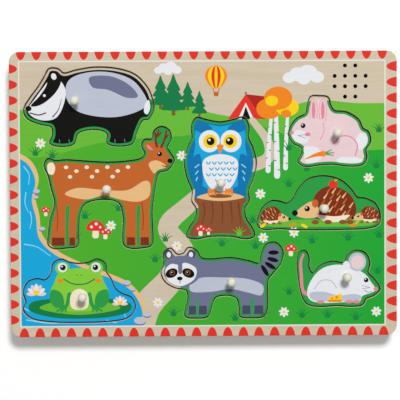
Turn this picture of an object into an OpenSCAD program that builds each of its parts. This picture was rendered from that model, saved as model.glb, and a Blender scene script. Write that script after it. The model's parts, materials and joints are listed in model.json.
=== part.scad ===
// Wooden sound puzzle: a printed face board with eight lift-out animal pieces, each with a
// peg knob, glued on a thick core. The core holds a light sensor under each piece, a
// loudspeaker, a battery box and a circuit board, and a screwed back panel closes it.
// Millimetres. The origin is the middle of the underside, +Z is up and +Y is the top of
// the picture.

/* [Board] */
// Width of the board, left to right
board_w = 300; // [296:1:330]
// Depth of the board, from the bottom to the top of the picture
board_d = 221; // [218:1:250]
// Radius of the board's four corners
corner_r = 8; // [2:0.5:12]
// Thickness of the printed face board
face_t = 6.5; // [4.5:0.25:9]
// Thickness of the back panel
back_t = 3; // [2.5:0.25:5]

/* [Puzzle pieces] */
// How far a piece lies below the face of the board
piece_recess = 2.5; // [0:0.1:3]
// Gap between a piece and the edge of its cut-out
pocket_gap = 0.9; // [0.3:0.1:1]
// Width of the badger piece
badger_w = 100; // [80:0.5:102]
// Width of the deer piece
deer_w = 100; // [80:0.5:102]
// Width of the owl piece
owl_w = 55; // [45:0.5:57]
// Width of the rabbit piece
rabbit_w = 63; // [52:0.5:66]
// Width of the hedgehog piece
hedgehog_w = 95; // [80:0.5:97]
// Width of the mouse piece
mouse_w = 64; // [54:0.5:66]
// Width of the raccoon piece
raccoon_w = 94; // [80:0.5:96]
// Width of the frog piece
frog_w = 86; // [74:0.5:87]

/* [Knobs] */
// Diameter of a knob's round head
knob_d = 7; // [6:0.1:9]
// Diameter of the flat on top of a knob's head
knob_flat_d = 3; // [2:0.1:4.5]
// Height of a knob above its piece
knob_h = 13; // [9:0.1:16]
// Diameter of a knob's neck
knob_neck_d = 4.2; // [3.6:0.1:5.5]
// Diameter of a knob's foot on the piece
knob_foot_d = 6; // [4:0.1:8]
// Height of a knob's foot
knob_foot_h = 1.4; // [0.6:0.1:2.5]
// Diameter of the shank that is glued into the piece
knob_shank_d = 3; // [2:0.1:3.5]

/* [Loudspeaker] */
// Diameter of the loudspeaker
speaker_d = 28; // [24:0.5:32]
// Depth of the loudspeaker's frame
speaker_frame_h = 4.6; // [3.5:0.1:5.5]
// Diameter of the magnet
magnet_d = 13; // [9:0.5:15]
// Thickness of the magnet
magnet_t = 2.6; // [1.5:0.1:4]
// Thickness of the foam gasket
gasket_t = 1; // [0.5:0.1:2]
// Diameter of each sound hole
sound_hole_d = 3.1; // [2:0.1:3.8]
// Distance between the sound holes
sound_hole_pitch = 8; // [6:0.1:8.4]

/* [Battery box] */
// Diameter of a cell
cell_d = 10.5; // [10:0.1:14.5]
// Length of a cell with its nub
cell_l = 44.5; // [40:0.5:50]
// Play around each cell
cell_play = 0.3; // [0.1:0.05:0.6]
// Depth of the contacts at each end
contact_depth = 2.5; // [1.5:0.1:3]
// Wall of the box
box_wall = 1.2; // [0.8:0.1:2]
// Length of the block at each end that takes a door screw
box_block_l = 7; // [6:0.1:8]
// How far the door lies above the underside of the board
door_recess = 0.3; // [0.1:0.1:0.8]
// Gap between the door and the back panel
door_gap = 0.4; // [0.2:0.1:0.8]
// Number of finger grooves across the door
door_grooves = 5; // [3:1:9]
// Length of the finger grooves
door_groove_l = 14; // [8:0.5:18]
// Distance between the finger grooves
door_groove_pitch = 2.2; // [1.6:0.1:4]
// Diameter of a door screw's shank
door_screw_d = 2.6; // [2:0.1:3]
// Diameter of a door screw's head
door_screw_head_d = 4.6; // [3.8:0.1:5]

/* [Circuit board] */
// Width of the circuit board
pcb_w = 46; // [44:0.5:48]
// Depth of the circuit board
pcb_d = 32; // [26:0.5:34]
// Thickness of the circuit board
pcb_t = 1.6; // [0.8:0.1:2]
// Height of the space for the parts under the circuit board
parts_h = 4; // [3.8:0.1:5]
// Diameter of the wires
wire_d = 1.3; // [0.8:0.1:1.6]
// Travel of the power switch
switch_travel = 2; // [1.5:0.1:3]
// Diameter of a light sensor
sensor_d = 5; // [3:0.1:5.6]

/* [Screws] */
// Diameter of a back screw's shank
back_screw_d = 3; // [2.5:0.1:3.5]
// Length of a back screw
back_screw_l = 11; // [8:0.5:13]
// Distance of the back screws from the edge
back_screw_inset = 7; // [5.5:0.1:7.5]

/* [Hidden] */
$fn = 48;

// Clearance on each side of pieces that are glued, turn, slide or are seated
glue_fit = 0.03;
turn_fit = 0.05;
slide_fit = 0.15;
seat_fit = 0.1;
// How far a cutting shape runs past the face that it cuts
cut = 1;

// Levels of the three layers and of the pieces, from the underside up
box_h = cell_d + 2 * seat_fit + box_wall;
core_t = box_h + seat_fit;
core_z = back_t;
face_z = core_z + core_t;
piece_t = face_t - piece_recess;
piece_top_z = face_z + piece_t;
pcb_z = core_z + parts_h;

// The animals in the order of the lists below
ANIMALS = ["badger", "deer", "owl", "rabbit", "hedgehog", "mouse", "raccoon", "frog"];
WIDTHS = [badger_w, deer_w, owl_w, rabbit_w, hedgehog_w, mouse_w, raccoon_w, frog_w];
COLOURS = ["dimgray", "peru", "steelblue", "mistyrose", "sienna", "whitesmoke", "slategray", "limegreen"];
// Middle of each piece on the board
PLACES = [[-89.3, 68.1], [-73.6, 6.3], [13, 13], [98, 48.4], [89, -7.2], [104.8, -65.5], [14.5, -66.9],
          [-96.9, -74.3]];
// Place of each knob, from the middle of its piece
KNOBS = [[-9.6, 4.4], [-1.2, -2.1], [0.3, -4.4], [5.3, -1.5], [4, -4.3], [5.8, 0.7], [6.5, -1.1],
         [2.7, -4.8]];
// Place of each light sensor, from the middle of its piece
SENSORS = [[10, -6], [-20, 4], [0, 18], [6, -12], [18, -6], [-8, -6], [-8, 2], [2, 8]];
// Place of each sensor's wire in the row of pads on the circuit board, from the left
PAD_ORDER = [0, 1, 2, 7, 6, 5, 4, 3];

// Outlines of the pieces, anticlockwise. The widths above set their scale.
BADGER = [[-49, -2], [-46, -9], [-36, -13], [-28, -15], [-27, -22], [-29, -28], [-20, -30], [-11, -28],
          [-8, -20], [2, -17], [11, -18], [15.5, -21.5], [15, -28], [24, -30], [34, -28], [37, -20],
          [41.5, -10.5], [47, -9], [50.5, -1], [49, 7], [45, 15.5], [36, 24.5], [22, 29], [6, 30], [-8, 28],
          [-18, 25.5], [-23, 29], [-29.5, 29], [-33, 23], [-38, 15], [-44, 7]];
DEER = [[50.5, 20], [47.5, 26], [45, 30.5], [48, 36], [47, 43], [41, 46], [35.5, 42.5], [34, 36.5],
        [28, 36], [26, 31], [28.5, 26], [25.5, 21.5], [16, 19.5], [0, 18.5], [-18, 19.5], [-32, 20.5],
        [-41, 20], [-47, 21.5], [-49.5, 16], [-46.5, 9], [-44, -2], [-41.5, -13], [-45, -25], [-46.5, -36],
        [-47, -44.5], [-42, -47.7], [-33, -47.2], [-24.5, -45.5], [-24, -35], [-23, -22], [-18, -12.5],
        [-4, -9.5], [8, -12.5], [11.5, -24], [11, -36], [11.5, -44.5], [16.5, -47.7], [26, -47.4],
        [33, -45], [33.5, -34], [33, -20], [34.5, -7], [36.5, 4], [39, 11], [45.5, 13]];
OWL_RIGHT = [[8, -45.5], [19, -47.5], [26, -45.5], [24, -39], [19.5, -32], [18.5, -24], [22, -18],
             [21.5, -10], [25.5, 0], [27.5, 12], [25, 23], [21.5, 31], [22, 39], [18.5, 46], [11, 44.5]];
OWL_LEFT = [for (i = [len(OWL_RIGHT) - 1 : -1 : 0]) [-OWL_RIGHT[i].x, OWL_RIGHT[i].y]];
OWL = concat(OWL_RIGHT, [[0, 42.5]], OWL_LEFT);
RABBIT = [[31.5, -8], [30, -1], [25.5, 2], [22, 9], [13, 14.5], [4, 15.5], [0.5, 20], [-1.5, 26], [-8, 27],
          [-14.5, 26.5], [-17, 20], [-18.5, 13.5], [-25, 10], [-30, 4], [-31.5, -3], [-28, -9],
          [-21.5, -12.5], [-22, -18], [-24.5, -23.5], [-18.5, -27], [-8, -25.8], [2, -25.3], [14, -26.8],
          [25, -26], [28.5, -20.5], [27.8, -14.5]];
HEDGEHOG = [[46, -17], [47.5, -9], [44, -1], [36.5, 3], [30, 4], [25.5, 10], [17, 17.5], [5, 20.5],
            [-7, 18.5], [-15, 11], [-19.5, 3], [-24.5, -0.5], [-29.5, 1], [-36, 1.5], [-42.5, -3],
            [-46, -10], [-47, -16.5], [-42, -20], [-30, -19.5], [-18, -20.3], [-4, -20.5], [10, -20.5],
            [24, -20.2], [36, -19.8]];
MOUSE = [[32, -9], [28, -2], [22.5, 4], [24, 11], [21, 18.5], [13.5, 21], [7, 17.5], [4, 11.5], [-5, 12.5],
         [-14, 9.5], [-20, 3.5], [-23.5, 8], [-23.5, 16], [-26.5, 21], [-31, 18.5], [-32, 10], [-31, 0],
         [-29.5, -9], [-27.5, -16], [-23, -21], [-13, -22.3], [-2, -21.5], [9, -22.3], [18, -21.3],
         [21, -16.5], [27, -14]];
RACCOON = [[46, 22], [41, 28.5], [33.5, 27], [30, 19.5], [28, 12.5], [20, 14.5], [6, 17], [-8, 16],
           [-16.5, 17], [-20, 22.5], [-26, 25], [-30, 20.5], [-35.5, 20], [-40, 24.5], [-45, 21],
           [-45, 13.5], [-47, 6], [-44, -1], [-36.5, -5.5], [-28, -7.5], [-26.5, -14], [-28.5, -22],
           [-28.5, -28], [-21, -29], [-12, -28], [-9, -20], [-5.5, -13], [4, -11.5], [11, -14], [13, -21],
           [13.5, -28], [21, -29], [31.5, -28], [34, -20], [34, -9], [34.5, 0], [39, 6], [44.5, 13]];
FROG = [[42.5, -14], [40, -6], [32, -2.5], [27, 2], [24, 9], [20.5, 14], [20, 20.5], [14, 24], [7.5, 21.5],
        [0, 20.5], [-7.5, 21.5], [-14, 24], [-20, 20.5], [-21.5, 13.5], [-26, 8], [-33, 9], [-40, 6],
        [-43, -1.5], [-41, -8.5], [-43, -15], [-36, -21.5], [-20, -24], [0, -24.5], [20, -24], [36, -21.5]];
OUTLINES = [BADGER, DEER, OWL, RABBIT, HEDGEHOG, MOUSE, RACCOON, FROG];
spline_steps = 4;

// Circuit board and loudspeaker, placed from the top right corner of the board
top_right = [board_w / 2, board_d / 2];
pcb_from_corner = [79, 27.5];
speaker_from_corner = [36.2, 23.5];
pcb_at = top_right - pcb_from_corner;
speaker_at = top_right - speaker_from_corner;

// Loudspeaker and its sound holes
speaker_top_z = face_z - gasket_t;
speaker_r = speaker_d / 2;
speaker_rim_w = 1.6;
speaker_rim_t = 1.2;
speaker_wall = 0.8;
speaker_step = 1.2;
cone_t = 0.4;
cone_dip = 1.8;
cone_dome_d = 10;
sound_rows = 4;

// Battery box, cells and door, placed from the circuit board
battery_from_pcb = [-61, 3];
battery_at = pcb_at + battery_from_pcb;
cell_pitch = cell_d + cell_play;
cell_z = core_z + seat_fit + cell_d / 2;
nub_d = 3.8;
nub_l = 1;
box_in_l = cell_l + 2 * contact_depth;
box_in_d = 2 * cell_pitch + cell_play;
box_l = box_in_l + 2 * box_block_l;
box_d = box_in_d + 2 * box_wall;
contact_t = 0.4;
contact_w = 6;
contact_h = 7;
door_l = box_l - box_wall;
door_d = box_in_d + box_wall;
door_t = back_t - door_recess;
door_corner_r = 2;
door_groove_w = 1;
door_groove_t = 0.6;
door_screw_x = box_in_l / 2 + box_block_l / 2;
door_screw_l = 8.5;
door_screw_head_t = 1.2;
cross_w = 0.8;

// Circuit board, its parts and its recess in the core
pcb_gap = 0.5;
ledge_w = 4;
relief_h = 2;
pcb_screw_inset = 2;
pcb_screw_d = 2;
pcb_screw_head_d = 3.4;
pcb_screw_head_t = 1.1;
pcb_screw_grip = 3;
pad_pitch = 5;
pad_inset = 2;
chip_at = [6, 3];
chip_d = 11;
chip_h = 2.2;
capacitor_at = [-2, 11];
capacitor_d = 4;
capacitor_h = 3.2;
switch_at = [-13, 5];
switch_size = [9.6, 4.4, 3.4];
switch_floor = 0.6;
slider_base = [4, 2.6, 1];
slider_stem = [2, 1.6];
slider_recess = 0.6;
switch_slot_margin = 1.6;
switch_slot_r = 1.2;

// Light sensors and wires
sensor_flange_d = sensor_d + 1;
sensor_flange_t = 1;
sensor_l = 5.5;
sensor_top_gap = 0.5;
sensor_seat_z = face_z - sensor_top_gap - sensor_l;
lead_d = 0.6;
lead_inset = 0.8;
channel_w = 2.6;
channel_h = 2.4;
low_wire_z = core_z + wire_d / 2 + seat_fit;
battery_wire_z = core_z + 2.6;
battery_channel_h = 4;
speaker_wire_spread = 2.5;
battery_pad_x = 3.5;
speaker_pad_x = 3;

// Back screws
back_screw_head_d = 6;
back_screw_head_t = 1.8;
back_screw_sink = 0.2;
back_screw_x = board_w / 2 - back_screw_inset;
back_screw_y = board_d / 2 - back_screw_inset;
BACK_SCREWS = [
    for (x = [-1, 0, 1], y = [-1, 0, 1])
        if (x != 0 || y != 0) [x * back_screw_x, y * back_screw_y]
];

// Smooth closed curve through a ring of points
function spline(points) = let (n = len(points)) [
    for (i = [0 : n - 1], s = [0 : spline_steps - 1])
        let (
            a = points[(i + n - 1) % n],
            b = points[i],
            c = points[(i + 1) % n],
            d = points[(i + 2) % n],
            t = s / spline_steps
        )
        b + (c - a) * t / 2
          + (2 * a - 5 * b + 4 * c - d) * t * t / 2
          + (3 * b - a - 3 * c + d) * t * t * t / 2
];

// An anticlockwise ring of points moved outwards
function grown(ring, by) = let (n = len(ring)) [
    for (i = [0 : n - 1])
        let (along = ring[(i + 1) % n] - ring[(i + n - 1) % n])
        ring[i] + by * [along.y, -along.x] / norm(along)
];

function drawn_w(points) = max([for (p = points) p.x]) - min([for (p = points) p.x]);
function piece_ring(i) = let (size = WIDTHS[i] / drawn_w(OUTLINES[i])) [
    for (p = spline(OUTLINES[i])) PLACES[i] + size * p
];
function piece_point(i, p) = PLACES[i] + p * WIDTHS[i] / drawn_w(OUTLINES[i]);
function knob_at(i) = piece_point(i, KNOBS[i]);
function sensor_at(i) = piece_point(i, SENSORS[i]);
function pad_at(i) = pcb_at + [(PAD_ORDER[i] - (len(ANIMALS) - 1) / 2) * pad_pitch, pad_inset - pcb_d / 2];
function turn_of(run) = atan2(run.y, run.x);

module at(place, z = 0) {
    translate([place.x, place.y, z]) children();
}

module rounded_rectangle(w, d, r) {
    square([w - 2 * r, d], center = true);
    square([w, d - 2 * r], center = true);
    for (x = [-1, 1], y = [-1, 1])
        translate([x * (w / 2 - r), y * (d / 2 - r)]) circle(r);
}

module board_outline() {
    rounded_rectangle(board_w, board_d, corner_r);
}

module block(w, d, h) {
    translate([-w / 2, -d / 2, 0]) cube([w, d, h]);
}

module sound_hole_places() {
    last = sound_rows - 1;
    for (i = [0 : last], j = [0 : last])
        if ((i > 0 && i < last) || (j > 0 && j < last))
            translate(speaker_at + sound_hole_pitch * [i - last / 2, j - last / 2]) children();
}

module face_board() {
    color("burlywood") translate([0, 0, face_z]) linear_extrude(face_t) difference() {
        board_outline();
        for (i = [0 : len(ANIMALS) - 1]) polygon(grown(piece_ring(i), pocket_gap));
        sound_hole_places() circle(d = sound_hole_d);
    }
}

// Straight groove in the underside of the core
module wire_channel(a, b, h) {
    run = b - a;
    at(a, core_z - cut) rotate(turn_of(run)) translate([0, -channel_w / 2, 0])
        cube([norm(run), channel_w, h + cut]);
}

module sensor_well(i) {
    at(sensor_at(i), core_z - cut) {
        cylinder(d = sensor_flange_d + 2 * slide_fit, h = sensor_seat_z - core_z + cut);
        cylinder(d = sensor_d + 2 * slide_fit, h = core_t + 2 * cut);
    }
}

module circuit_recess() {
    at(pcb_at, core_z - cut) {
        block(pcb_w + 2 * pcb_gap, pcb_d + 2 * pcb_gap, parts_h + pcb_t + cut);
        block(pcb_w - 2 * ledge_w, pcb_d - 2 * ledge_w, parts_h + pcb_t + relief_h + cut);
    }
    pcb_screw_places() cylinder(d = pcb_screw_d + 2 * glue_fit, h = pcb_t + pcb_screw_grip + seat_fit);
}

module core_board() {
    color("tan") difference() {
        translate([0, 0, core_z]) linear_extrude(core_t) board_outline();
        at(battery_at, core_z - cut) block(box_l + 2 * seat_fit, box_d + 2 * seat_fit, core_t + 2 * cut);
        at(speaker_at, core_z - cut) cylinder(d = speaker_d + 2 * seat_fit, h = core_t + 2 * cut);
        circuit_recess();
        for (i = [0 : len(ANIMALS) - 1]) {
            sensor_well(i);
            wire_channel(pad_at(i), sensor_at(i), channel_h);
        }
        for (side = [-1, 1]) {
            wire_channel(speaker_pad(side), speaker_lead(side), channel_h);
            wire_channel(battery_lead(side), battery_pad(side), battery_channel_h);
        }
        for (place = BACK_SCREWS)
            at(place, core_z - cut)
                cylinder(d = back_screw_d + 2 * glue_fit, h = back_screw_l - back_t + 2 * cut);
    }
}

module door_shape(gap, t) {
    linear_extrude(t) rounded_rectangle(door_l + 2 * gap, door_d + 2 * gap, door_corner_r);
}

module switch_slot() {
    w = slider_stem.x + switch_travel + 2 * switch_slot_margin;
    d = slider_stem.y + 2 * switch_slot_margin;
    at(pcb_at + switch_at, -cut) linear_extrude(back_t + 2 * cut) rounded_rectangle(w, d, switch_slot_r);
}

module back_panel() {
    color("saddlebrown") difference() {
        linear_extrude(back_t) board_outline();
        at(battery_at, -cut) door_shape(door_gap, back_t + 2 * cut);
        switch_slot();
        for (place = BACK_SCREWS) at(place) {
            translate([0, 0, -cut]) cylinder(d = back_screw_d + 2 * slide_fit, h = back_t + 2 * cut);
            translate([0, 0, -cut]) cylinder(d = back_screw_head_d + 2 * glue_fit, h = back_screw_sink + cut);
            translate([0, 0, back_screw_sink]) screw_head_cone(glue_fit);
        }
    }
}

module screw_head_cone(grow) {
    cylinder(d1 = back_screw_head_d + 2 * grow, d2 = back_screw_d + 2 * grow, h = back_screw_head_t);
}

module cross_slot(depth, size) {
    for (turn = [0, 90])
        rotate(turn) translate([-size / 2, -cross_w / 2, -cut]) cube([size, cross_w, depth + cut]);
}

module back_screws() {
    color("silver") for (place = BACK_SCREWS)
        at(place, back_screw_sink) difference() {
            union() {
                screw_head_cone(0);
                cylinder(d = back_screw_d, h = back_screw_l - back_screw_sink);
            }
            cross_slot(back_screw_head_t / 2, back_screw_head_d / 2);
        }
}

module puzzle_piece(i) {
    color(COLOURS[i]) translate([0, 0, face_z]) linear_extrude(piece_t) difference() {
        polygon(piece_ring(i));
        translate(knob_at(i)) circle(d = knob_shank_d + 2 * glue_fit);
    }
}

module knob(i) {
    head_z = knob_h - sqrt(knob_d * knob_d - knob_flat_d * knob_flat_d) / 2;
    color("ivory") at(knob_at(i), piece_top_z) {
        cylinder(d1 = knob_foot_d, d2 = knob_neck_d, h = knob_foot_h);
        cylinder(d = knob_neck_d, h = head_z);
        difference() {
            translate([0, 0, head_z]) sphere(d = knob_d);
            translate([0, 0, knob_h]) cylinder(d = knob_d, h = knob_d);
        }
        translate([0, 0, seat_fit - piece_t]) cylinder(d = knob_shank_d, h = piece_t);
    }
}

module light_sensor(i) {
    dome_r = sensor_d / 2;
    color("lightyellow") at(sensor_at(i), sensor_seat_z) {
        translate([0, 0, -sensor_flange_t]) cylinder(d = sensor_flange_d, h = sensor_flange_t);
        cylinder(r = dome_r, h = sensor_l - dome_r);
        translate([0, 0, sensor_l - dome_r]) sphere(r = dome_r);
    }
}

module speaker_gasket() {
    color("black") at(speaker_at, speaker_top_z) difference() {
        cylinder(r = speaker_r, h = gasket_t);
        translate([0, 0, -cut]) cylinder(r = speaker_r - speaker_rim_w, h = gasket_t + 2 * cut);
    }
}

module speaker_frame() {
    inner_r = speaker_r - speaker_rim_w;
    floor_r = magnet_d / 2 + speaker_wall;
    color("silver") at(speaker_at, speaker_top_z) rotate_extrude() polygon([
        [0, -speaker_frame_h], [floor_r + speaker_wall, -speaker_frame_h], [inner_r, -speaker_rim_t],
        [speaker_r, -speaker_rim_t], [speaker_r, 0], [inner_r, 0], [inner_r, -speaker_rim_t / 2],
        [inner_r - speaker_step, -speaker_rim_t / 2], [floor_r, speaker_wall - speaker_frame_h],
        [0, speaker_wall - speaker_frame_h]
    ]);
}

module speaker_cone() {
    rim_r = speaker_r - speaker_rim_w - seat_fit;
    step_r = rim_r - speaker_step;
    dome_r = cone_dome_d / 2;
    seat_z = -speaker_rim_t / 2;
    color("dimgray") at(speaker_at, speaker_top_z) rotate_extrude() polygon([
        [rim_r, seat_z], [rim_r, seat_z + cone_t], [step_r, seat_z + cone_t],
        [dome_r, seat_z + cone_t - cone_dip], [0, seat_z + cone_t - cone_dip / 2],
        [0, seat_z - cone_dip / 2], [dome_r, seat_z - cone_dip], [step_r, seat_z]
    ]);
}

module speaker_magnet() {
    color("gray") at(speaker_at, speaker_top_z - speaker_frame_h - magnet_t)
        cylinder(d = magnet_d, h = magnet_t);
}

module battery_box() {
    color("white") at(battery_at, core_z) difference() {
        block(box_l, box_d, box_h);
        translate([0, 0, -cut]) block(box_in_l, box_in_d, box_h - box_wall + cut);
        for (side = [-1, 1]) {
            translate([side * door_screw_x, 0, -cut])
                cylinder(d = door_screw_d + 2 * turn_fit, h = door_screw_l - door_t + 2 * cut);
            at(battery_lead(side) - battery_at, battery_wire_z - core_z) rotate([0, 90, 0])
                cylinder(d = wire_d + 2 * seat_fit, h = box_block_l + contact_depth + cut);
        }
    }
}

module battery_cell(side) {
    color("goldenrod") at(battery_at + [0, side * cell_pitch / 2], cell_z) rotate([0, 90 * side, 0]) {
        translate([0, 0, -cell_l / 2]) cylinder(d = cell_d, h = cell_l - nub_l);
        translate([0, 0, cell_l / 2 - nub_l]) cylinder(d = nub_d, h = nub_l);
    }
}

// Bent strip that presses on the end of a cell
module contact_leaf() {
    rise = contact_depth - contact_t - seat_fit;
    rotate([90, 0, 0]) translate([0, 0, -contact_w / 2]) linear_extrude(contact_w) polygon([
        [0, -contact_h / 2], [contact_t, -contact_h / 2], [contact_t + rise, -contact_t],
        [contact_t + rise, contact_t], [contact_t, contact_h / 2], [0, contact_h / 2]
    ]);
}

module battery_contacts() {
    color("silver") at(battery_at, cell_z) for (end = [-1, 1], side = [-1, 1])
        translate([end * box_in_l / 2, side * cell_pitch / 2, 0]) rotate(90 * (1 + end)) contact_leaf();
}

module battery_door() {
    color("white") at(battery_at, door_recess) difference() {
        door_shape(0, door_t);
        for (side = [-1, 1]) translate([side * door_screw_x, 0, -cut]) {
            cylinder(d = door_screw_d + 2 * turn_fit, h = door_t + 2 * cut);
            cylinder(d = door_screw_head_d + 2 * slide_fit, h = door_screw_head_t + seat_fit + cut);
        }
        for (k = [0 : door_grooves - 1])
            translate([(k - (door_grooves - 1) / 2) * door_groove_pitch, 0, -cut])
                block(door_groove_w, door_groove_l, door_groove_t + cut);
    }
}

module door_screw(side) {
    color("silver") at(battery_at + [side * door_screw_x, 0], door_recess + seat_fit) difference() {
        union() {
            cylinder(d = door_screw_head_d, h = door_screw_head_t);
            cylinder(d = door_screw_d, h = door_screw_l);
        }
        cross_slot(door_screw_head_t / 2, door_screw_head_d / 2);
    }
}

module pcb_screw_places() {
    for (x = [-1, 1], y = [-1, 1])
        at(pcb_at + [x * (pcb_w / 2 - pcb_screw_inset), y * (pcb_d / 2 - pcb_screw_inset)], pcb_z) children();
}

module circuit_board() {
    color("seagreen") difference() {
        at(pcb_at, pcb_z) block(pcb_w, pcb_d, pcb_t);
        pcb_screw_places() translate([0, 0, -cut])
            cylinder(d = pcb_screw_d + 2 * slide_fit, h = pcb_t + 2 * cut);
    }
}

module circuit_board_screws() {
    color("silver") pcb_screw_places() {
        translate([0, 0, -pcb_screw_head_t]) cylinder(d = pcb_screw_head_d, h = pcb_screw_head_t);
        cylinder(d = pcb_screw_d, h = pcb_t + pcb_screw_grip);
    }
}

module sound_chip() {
    ball_r = (chip_d * chip_d / 4 + chip_h * chip_h) / (2 * chip_h);
    color("black") at(pcb_at + chip_at, pcb_z) intersection() {
        translate([0, 0, ball_r - chip_h]) sphere(ball_r);
        translate([0, 0, -chip_h]) block(chip_d, chip_d, chip_h);
    }
}

module capacitor() {
    color("navy") at(pcb_at + capacitor_at, pcb_z - capacitor_h) cylinder(d = capacitor_d, h = capacitor_h);
}

module power_switch() {
    room = [slider_base.x + switch_travel, slider_base.y, slider_base.z] + 2 * slide_fit * [1, 1, 1];
    slot = [slider_stem.x + switch_travel, slider_stem.y] + 2 * slide_fit * [1, 1];
    color("gray") at(pcb_at + switch_at, pcb_z - switch_size.z) difference() {
        block(switch_size.x, switch_size.y, switch_size.z);
        translate([0, 0, switch_floor]) block(room.x, room.y, room.z);
        translate([0, 0, -cut]) block(slot.x, slot.y, switch_floor + 2 * cut);
    }
}

module power_slider() {
    base_z = pcb_z - switch_size.z + switch_floor + seat_fit;
    color("black") at(pcb_at + switch_at - [switch_travel / 2, 0]) {
        translate([0, 0, base_z]) block(slider_base.x, slider_base.y, slider_base.z);
        translate([0, 0, slider_recess])
            block(slider_stem.x, slider_stem.y, base_z - slider_recess + seat_fit);
    }
}

function battery_lead(side) = battery_at + [box_in_l / 2 - contact_t, side * cell_pitch / 2];
function battery_pad(side) = [pcb_at.x - pcb_w / 2 + battery_pad_x, battery_lead(side).y];
function speaker_lead(side) = speaker_at + [-magnet_d / 2 - speaker_wall, side * speaker_wire_spread];
function speaker_pad(side) =
    [pcb_at.x + pcb_w / 2 - speaker_pad_x, speaker_at.y + side * speaker_wire_spread];

// Insulated wire with a bare lead turned up at each end
module wire(a, a_top, b, b_top, z) {
    run = b - a;
    at(a, z) rotate(turn_of(run)) {
        translate([-lead_inset, 0, 0]) rotate([0, 90, 0])
            cylinder(d = wire_d, h = norm(run) + 2 * lead_inset);
        cylinder(d = lead_d, h = a_top - z);
        translate([norm(run), 0, 0]) cylinder(d = lead_d, h = b_top - z);
    }
}

module sensor_wires() {
    color("gold") for (i = [0 : len(ANIMALS) - 1])
        wire(pad_at(i), pcb_z, sensor_at(i), sensor_seat_z - sensor_flange_t, low_wire_z);
}

module battery_wires() {
    color("red") for (side = [-1, 1]) {
        a = battery_lead(side);
        b = battery_pad(side);
        at(a + [contact_t + seat_fit, 0], battery_wire_z) rotate([0, 90, 0])
            cylinder(d = wire_d, h = b.x - a.x + lead_inset);
        at(b, battery_wire_z) cylinder(d = lead_d, h = pcb_z - battery_wire_z);
    }
}

module speaker_wires() {
    color("black") for (side = [-1, 1])
        wire(speaker_pad(side), pcb_z, speaker_lead(side), speaker_top_z - speaker_frame_h, low_wire_z);
}

face_board();
core_board();
back_panel();
back_screws();
for (i = [0 : len(ANIMALS) - 1]) {
    puzzle_piece(i);
    knob(i);
    light_sensor(i);
}
speaker_gasket();
speaker_frame();
speaker_cone();
speaker_magnet();
battery_box();
battery_cell(-1);  // battery_cell_1
battery_cell(1);  // battery_cell_2
battery_contacts();
battery_door();
door_screw(-1);  // door_screw_left
door_screw(1);  // door_screw_right
circuit_board();
circuit_board_screws();
sound_chip();
capacitor();
power_switch();
power_slider();
sensor_wires();
battery_wires();
speaker_wires();
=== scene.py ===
"""Wooden sound puzzle: a printed board with eight animal pieces that lift out by their knobs.

The picture is one stack of ink shapes for the whole board, in millimetres around its middle, later shapes
over earlier ones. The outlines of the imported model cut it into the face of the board, the eight pieces and
the floors of their cut-outs.
"""
import json
from math import asin, atan2, cos, degrees, dist, pi, radians, sin, sqrt

import bmesh
import bpy
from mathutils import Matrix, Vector
from mathutils.geometry import delaunay_2d_cdt


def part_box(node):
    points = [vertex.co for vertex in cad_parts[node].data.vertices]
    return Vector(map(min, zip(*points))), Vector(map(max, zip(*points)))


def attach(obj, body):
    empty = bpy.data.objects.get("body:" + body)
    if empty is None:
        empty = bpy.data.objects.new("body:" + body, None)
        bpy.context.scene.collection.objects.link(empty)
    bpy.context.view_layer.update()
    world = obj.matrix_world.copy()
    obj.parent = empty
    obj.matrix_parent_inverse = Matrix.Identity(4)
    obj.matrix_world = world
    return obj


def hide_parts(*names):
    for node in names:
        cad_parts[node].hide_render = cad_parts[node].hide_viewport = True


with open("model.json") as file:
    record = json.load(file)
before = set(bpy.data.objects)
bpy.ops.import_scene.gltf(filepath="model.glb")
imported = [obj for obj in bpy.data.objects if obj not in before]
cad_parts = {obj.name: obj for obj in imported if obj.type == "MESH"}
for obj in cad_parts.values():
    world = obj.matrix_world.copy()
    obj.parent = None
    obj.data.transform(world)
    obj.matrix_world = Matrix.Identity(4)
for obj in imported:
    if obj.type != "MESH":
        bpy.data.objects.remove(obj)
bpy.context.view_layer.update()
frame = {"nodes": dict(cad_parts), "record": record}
nodes = frame["nodes"]

MM = 0.001

# The board in millimetres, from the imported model
half_w, half_d, face_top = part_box("face_board")[1] / MM
face_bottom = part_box("face_board")[0].z / MM

# Rounded edges: the rims of the boards, the edges of the cut-outs and of the pieces, and small holes
rim_r = 0.5
cut_r = 0.4
piece_r = 0.25
hole_r = 0.12
small_hole = 14  # outlines shorter than this are small holes
least_side = 0.15  # sides of an outline shorter than this have no sure direction

# On the boards under the face, rims longer than this are rounded, and smaller faces than this are curved
long_rim = 150
least_flat = 100

# Knobs: radii of the shank, the foot, the neck and the flat on the head, and the sides of the turned shape
knob_shank_r = 1.5
knob_foot_r = 3
knob_neck_r = 2.1
knob_flat_r = 1.5
knob_sides = 40

# Printed floor of a cut-out, and the room that it leaves under a piece
floor_print_t = 0.06
piece_lift = 0.1

# Border of the picture, printed a little off the middle of the board: a white line with red teeth outside it
border_shift = (-0.8, 0.35)
line_w = 1
line_half_w = half_w - 7.9
line_half_d = half_d - 7.35
tip_gap = 0.5
tooth_w = 7.7
tooth_pitch = 12.15
teeth_across = 24
teeth_up = 17
overlap = 3  # how far shapes run on under the border or over the edge

# Bare strip between a figure and the edge of its piece
figure_margin = 1.7

# Camera: focal length and place in metres, and turn in degrees
camera_lens = 125.3
camera_place = (-0.0159, 0.0333, 1.1)
camera_turn = (-2.003, -0.701, -0.287)

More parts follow.
